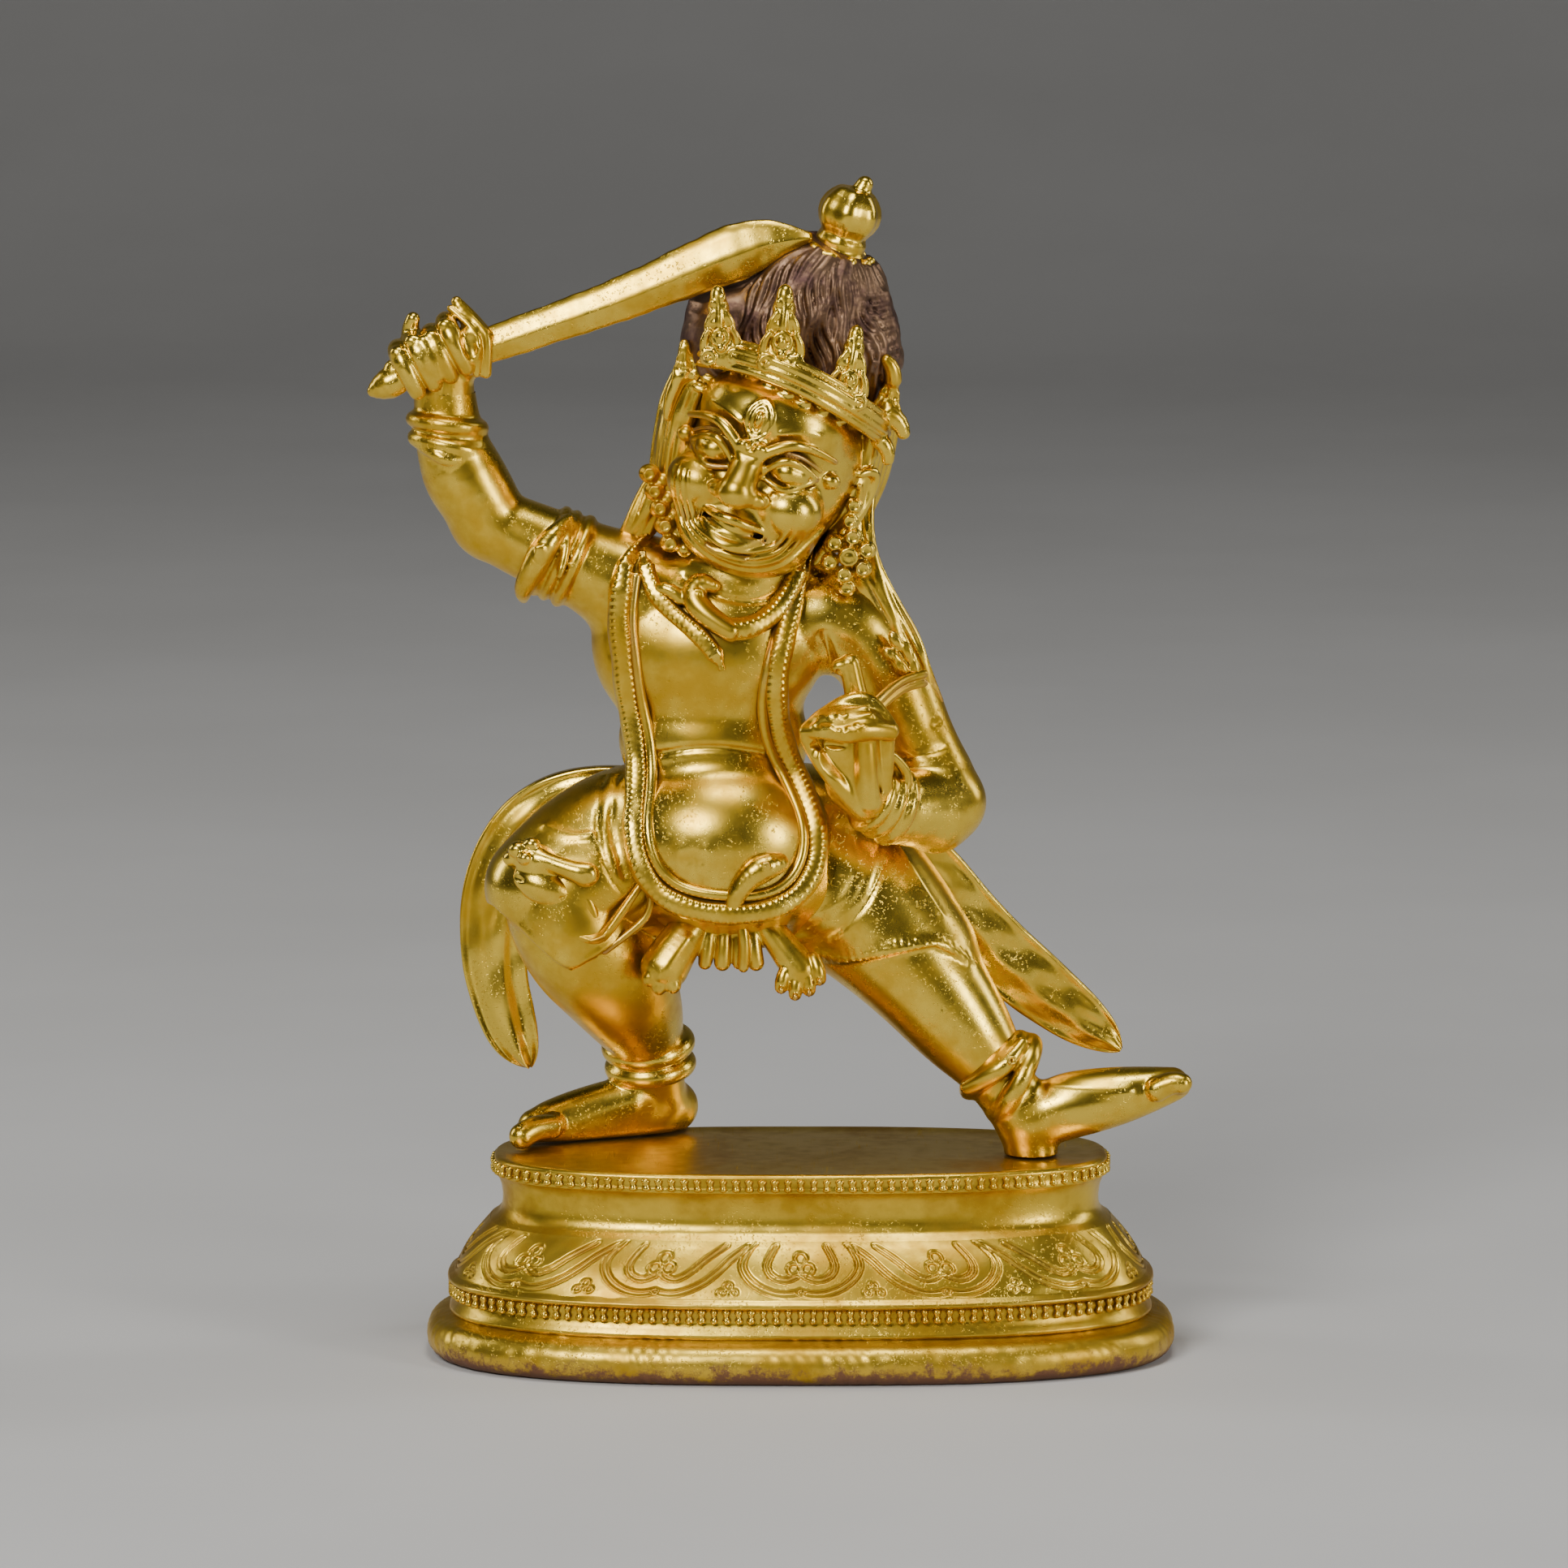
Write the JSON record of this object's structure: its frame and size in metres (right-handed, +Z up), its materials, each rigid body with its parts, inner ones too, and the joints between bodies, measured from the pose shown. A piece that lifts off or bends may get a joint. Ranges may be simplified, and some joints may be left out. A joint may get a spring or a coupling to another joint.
{
  "type": "mahakala statue",
  "caption": "Gilt copper guardian figure striding on an oval lotus base, raising a curved sword and holding a skull cup, with crown, snakes, tiger skin and flying scarf.",
  "frame": {"origin": "middle of the whole statue's box, on the surface it stands on", "axes": "+Z up, -Y the way the figure faces, +X to the viewer's right and along the oval base"},
  "size_m": [0.118, 0.0588, 0.1701],
  "materials": {
    "gilt_figure": "burnished fire gilding over copper, worn on the high points",
    "gilt_base": "chased fire gilding over copper, copper showing at the foot rim"
  },
  "bodies": {
    "root": {"figure": "gilt_figure", "lotus_base": "gilt_base"}
  },
  "joints": []
}
